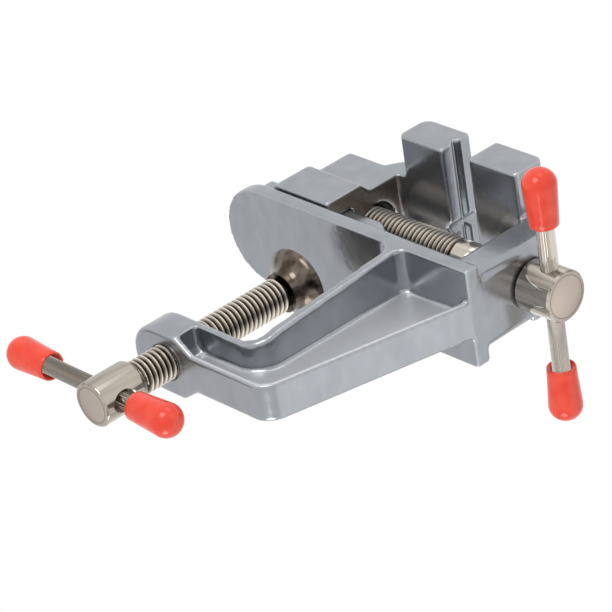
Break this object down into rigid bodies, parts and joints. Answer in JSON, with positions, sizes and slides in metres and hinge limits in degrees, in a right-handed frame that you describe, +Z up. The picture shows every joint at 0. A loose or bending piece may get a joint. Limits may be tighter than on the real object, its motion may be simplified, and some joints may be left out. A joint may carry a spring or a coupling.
{
  "type": "bench vise",
  "caption": "Small clamp-on bench vise: a cast frame grips a bench edge with a screw clamp, and a sliding jaw is driven by a screw with a cross bar.",
  "frame": {"origin": "on the axis of the clamp screw, in the plane of the base plate's underside, which rests on the bench", "axes": "+X from the sliding jaw towards the jaw screw's hub, +Z up with the vise clamped to a bench, Y across the jaws"},
  "size_m": [0.0842, 0.0593, 0.1007],
  "materials": {
    "casting": "tumbled and clear-coated die casting, glossy grey",
    "screw_steel": "nickel plated steel",
    "bar_steel": "nickel plated steel rod",
    "spring_steel": "blackened spring steel",
    "pad_steel": "plated pressed steel",
    "cap_plastic": "dipped soft vinyl, glossy orange-red"
  },
  "bodies": {
    "base": {"base_casting": "casting"},
    "sliding_jaw": {"movable_jaw": "casting"},
    "jaw_screw": {"main_screw": "screw_steel", "screw_retaining_clip": "spring_steel"},
    "jaw_bar": {"main_bar": "bar_steel", "main_bar_cap_back": "cap_plastic", "main_bar_cap_front": "cap_plastic"},
    "pad": {"swivel_pad": "pad_steel"},
    "clamp_spindle": {"clamp_screw": "screw_steel"},
    "clamp_handle": {"clamp_bar": "bar_steel", "clamp_bar_cap_back": "cap_plastic", "clamp_bar_cap_front": "cap_plastic"}
  },
  "joints": [
    {"name": "jaw_slide", "type": "slide", "parent": "base", "child": "sliding_jaw", "axis": [1, 0, 0], "range_m": [-0.018, 0.0073]},
    {"name": "jaw_screw_turn", "type": "hinge", "parent": "base", "child": "jaw_screw", "pos_m": [0.038, 0, 0.0178], "axis": [1, 0, 0], "range_deg": [-2103, 5185]},
    {"name": "jaw_bar_slide", "type": "slide", "parent": "jaw_screw", "child": "jaw_bar", "axis": [0, 1, 0], "range_m": [-0.012, 0.0097]},
    {"name": "clamp_travel", "type": "slide", "parent": "base", "child": "pad", "axis": [0, 0, 1], "range_m": [-0.0251, 0.0077]},
    {"name": "clamp_screw_turn", "type": "hinge", "parent": "pad", "child": "clamp_spindle", "pos_m": [0, 0, -0.0126], "axis": [0, 0, 1], "range_deg": [-7230, 2218]},
    {"name": "clamp_bar_slide", "type": "slide", "parent": "clamp_spindle", "child": "clamp_handle", "axis": [1, 0, 0], "range_m": [-0.0025, 0.0136]}
  ],
  "couplings": [
    {"joint": "jaw_screw_turn", "follows": "jaw_slide", "rad_per_m": -5026.5},
    {"joint": "clamp_screw_turn", "follows": "clamp_travel", "rad_per_m": 5026.5}
  ]
}
